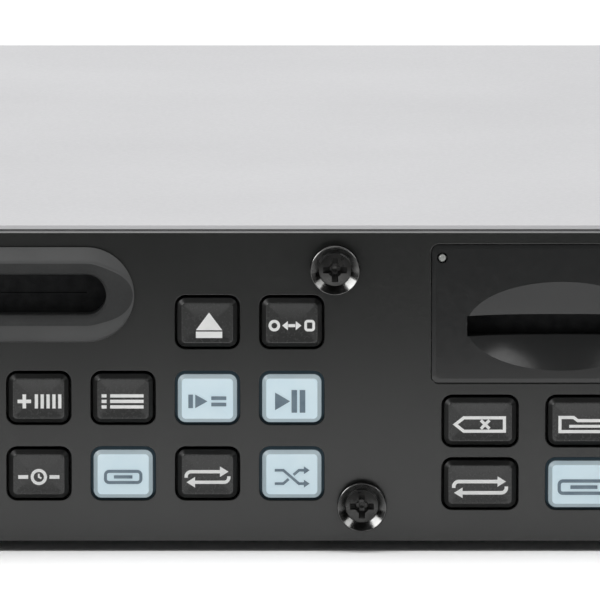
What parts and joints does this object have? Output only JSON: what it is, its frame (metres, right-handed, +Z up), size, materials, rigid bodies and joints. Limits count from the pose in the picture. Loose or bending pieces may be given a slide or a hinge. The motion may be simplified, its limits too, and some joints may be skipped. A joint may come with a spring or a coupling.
{
  "type": "rack disc and card recorder",
  "caption": "Rack-mounted recorder one unit high, with a disc slot, a memory card slot, push keys, two display windows and a level knob.",
  "frame": {"origin": "on the floor under the middle of the part's box, between the front of the level knob and the tips of the rear jacks", "axes": "+X to the right seen from the front, +Y from the front panel to the rear, +Z up"},
  "size_m": [0.4826, 0.277, 0.0458],
  "materials": {
    "panel_paint": "satin charcoal paint",
    "cover_paint": "fine light grey paint",
    "zinc_sheet": "zinc plated sheet",
    "black_plastic": "moulded satin black",
    "key_black": "moulded satin black",
    "key_lit": "translucent, lit pale blue",
    "foot_rubber": "matt rubber",
    "screw_chrome": "polished chrome",
    "board_green": "glass fibre board",
    "display_black": "dark display glass",
    "lens_smoke": "smoked acrylic",
    "lamp_clear": "clear lens, unlit",
    "bright_steel": "bright steel",
    "ribbon_grey": "grey ribbon"
  },
  "bodies": {
    "casing": {"card_display": "display_black", "card_display_lens": "lens_smoke", "card_key_board": "board_green", "card_lamp": "lamp_clear", "card_slot_plate": "panel_paint", "card_socket": "bright_steel", "chassis_tray": "zinc_sheet", "clamp_plate": "zinc_sheet", "disc_display": "display_black", "disc_display_lens": "lens_smoke", "disc_key_board": "board_green", "disc_slot_bezel": "black_plastic", "drive_frame": "zinc_sheet", "foot_front_left": "foot_rubber", "foot_front_right": "foot_rubber", "foot_rear_left": "foot_rubber", "foot_rear_right": "foot_rubber", "front_panel": "panel_paint", "guide_rod": "bright_steel", "level_control": "bright_steel", "line_jacks": "black_plastic", "loading_motor": "bright_steel", "main_board": "board_green", "mains_inlet": "black_plastic", "panel_screw_left": "screw_chrome", "panel_screw_lower": "screw_chrome", "panel_screw_right": "screw_chrome", "panel_screw_upper": "screw_chrome", "power_board": "board_green", "power_switch": "black_plastic", "ribbon_cable": "ribbon_grey", "spindle_motor": "bright_steel", "top_cover": "cover_paint"},
    "skip_back_key": {"skip_back_key": "key_black"},
    "skip_forward_key": {"skip_forward_key": "key_black"},
    "time_key": {"time_key": "key_black"},
    "plus_ten_key": {"plus_ten_key": "key_black"},
    "single_key": {"single_key": "key_lit"},
    "program_key": {"program_key": "key_black"},
    "repeat_key": {"repeat_key": "key_black"},
    "cue_key": {"cue_key": "key_lit"},
    "eject_key": {"eject_key": "key_black"},
    "shuffle_key": {"shuffle_key": "key_lit"},
    "play_key": {"play_key": "key_lit"},
    "source_key": {"source_key": "key_black"},
    "card_repeat_key": {"card_repeat_key": "key_black"},
    "card_delete_key": {"card_delete_key": "key_black"},
    "card_single_key": {"card_single_key": "key_lit"},
    "card_folder_key": {"card_folder_key": "key_black"},
    "card_stop_key": {"card_stop_key": "key_black"},
    "card_record_key": {"card_record_key": "key_black"},
    "card_play_key": {"card_play_key": "key_lit"},
    "card_pause_key": {"card_pause_key": "key_black"},
    "power_button": {"power_button": "black_plastic"},
    "level_knob": {"level_knob": "black_plastic"},
    "turntable": {"turntable": "black_plastic"},
    "disc_clamper": {"disc_clamper": "black_plastic"},
    "laser_sled": {"laser_sled": "black_plastic"},
    "lead_screw": {"lead_screw": "bright_steel"},
    "feed_roller": {"feed_roller": "foot_rubber"}
  },
  "joints": [
    {"name": "skip_back_press", "type": "slide", "parent": "casing", "child": "skip_back_key", "axis": [0, 1, 0], "range_m": [0, 0.0008], "stiffness_N_per_m": 600, "springref_m": -0.001},
    {"name": "skip_forward_press", "type": "slide", "parent": "casing", "child": "skip_forward_key", "axis": [0, 1, 0], "range_m": [0, 0.0008], "stiffness_N_per_m": 600, "springref_m": -0.001},
    {"name": "time_press", "type": "slide", "parent": "casing", "child": "time_key", "axis": [0, 1, 0], "range_m": [0, 0.0008], "stiffness_N_per_m": 600, "springref_m": -0.001},
    {"name": "plus_ten_press", "type": "slide", "parent": "casing", "child": "plus_ten_key", "axis": [0, 1, 0], "range_m": [0, 0.0008], "stiffness_N_per_m": 600, "springref_m": -0.001},
    {"name": "single_press", "type": "slide", "parent": "casing", "child": "single_key", "axis": [0, 1, 0], "range_m": [0, 0.0008], "stiffness_N_per_m": 600, "springref_m": -0.001},
    {"name": "program_press", "type": "slide", "parent": "casing", "child": "program_key", "axis": [0, 1, 0], "range_m": [0, 0.0008], "stiffness_N_per_m": 600, "springref_m": -0.001},
    {"name": "repeat_press", "type": "slide", "parent": "casing", "child": "repeat_key", "axis": [0, 1, 0], "range_m": [0, 0.0008], "stiffness_N_per_m": 600, "springref_m": -0.001},
    {"name": "cue_press", "type": "slide", "parent": "casing", "child": "cue_key", "axis": [0, 1, 0], "range_m": [0, 0.0008], "stiffness_N_per_m": 600, "springref_m": -0.001},
    {"name": "eject_press", "type": "slide", "parent": "casing", "child": "eject_key", "axis": [0, 1, 0], "range_m": [0, 0.0008], "stiffness_N_per_m": 600, "springref_m": -0.001},
    {"name": "shuffle_press", "type": "slide", "parent": "casing", "child": "shuffle_key", "axis": [0, 1, 0], "range_m": [0, 0.0008], "stiffness_N_per_m": 600, "springref_m": -0.001},
    {"name": "play_press", "type": "slide", "parent": "casing", "child": "play_key", "axis": [0, 1, 0], "range_m": [0, 0.0008], "stiffness_N_per_m": 600, "springref_m": -0.001},
    {"name": "source_press", "type": "slide", "parent": "casing", "child": "source_key", "axis": [0, 1, 0], "range_m": [0, 0.0008], "stiffness_N_per_m": 600, "springref_m": -0.001},
    {"name": "card_repeat_press", "type": "slide", "parent": "casing", "child": "card_repeat_key", "axis": [0, 1, 0], "range_m": [0, 0.0008], "stiffness_N_per_m": 600, "springref_m": -0.001},
    {"name": "card_delete_press", "type": "slide", "parent": "casing", "child": "card_delete_key", "axis": [0, 1, 0], "range_m": [0, 0.0008], "stiffness_N_per_m": 600, "springref_m": -0.001},
    {"name": "card_single_press", "type": "slide", "parent": "casing", "child": "card_single_key", "axis": [0, 1, 0], "range_m": [0, 0.0008], "stiffness_N_per_m": 600, "springref_m": -0.001},
    {"name": "card_folder_press", "type": "slide", "parent": "casing", "child": "card_folder_key", "axis": [0, 1, 0], "range_m": [0, 0.0008], "stiffness_N_per_m": 600, "springref_m": -0.001},
    {"name": "card_stop_press", "type": "slide", "parent": "casing", "child": "card_stop_key", "axis": [0, 1, 0], "range_m": [0, 0.0008], "stiffness_N_per_m": 600, "springref_m": -0.001},
    {"name": "card_record_press", "type": "slide", "parent": "casing", "child": "card_record_key", "axis": [0, 1, 0], "range_m": [0, 0.0008], "stiffness_N_per_m": 600, "springref_m": -0.001},
    {"name": "card_play_press", "type": "slide", "parent": "casing", "child": "card_play_key", "axis": [0, 1, 0], "range_m": [0, 0.0008], "stiffness_N_per_m": 600, "springref_m": -0.001},
    {"name": "card_pause_press", "type": "slide", "parent": "casing", "child": "card_pause_key", "axis": [0, 1, 0], "range_m": [0, 0.0008], "stiffness_N_per_m": 600, "springref_m": -0.001},
    {"name": "power_press", "type": "slide", "parent": "casing", "child": "power_button", "axis": [0, 1, 0], "range_m": [0, 0.002], "stiffness_N_per_m": 600, "springref_m": -0.002},
    {"name": "level_turn", "type": "hinge", "parent": "casing", "child": "level_knob", "pos_m": [0.172, -0.1245, 0.02335], "axis": [0, -1, 0], "range_deg": [-150, 150]},
    {"name": "turntable_spin", "type": "hinge", "parent": "casing", "child": "turntable", "pos_m": [-0.064, -0.0325, 0.02], "axis": [0, 0, 1], "continuous": true},
    {"name": "clamper_spin", "type": "hinge", "parent": "casing", "child": "disc_clamper", "pos_m": [-0.064, -0.0325, 0.04], "axis": [0, 0, 1], "continuous": true},
    {"name": "sled_slide", "type": "slide", "parent": "casing", "child": "laser_sled", "axis": [0, 1, 0], "range_m": [0, 0.034]},
    {"name": "screw_spin", "type": "hinge", "parent": "casing", "child": "lead_screw", "pos_m": [-0.034, 0.0055, 0.024], "axis": [0, 1, 0], "continuous": true},
    {"name": "roller_spin", "type": "hinge", "parent": "casing", "child": "feed_roller", "pos_m": [-0.064, -0.0985, 0.0297], "axis": [1, 0, 0], "continuous": true}
  ],
  "couplings": [
    {"joint": "clamper_spin", "follows": "turntable_spin", "ratio": 1},
    {"joint": "screw_spin", "follows": "sled_slide", "rad_per_m": 2094.4}
  ]
}
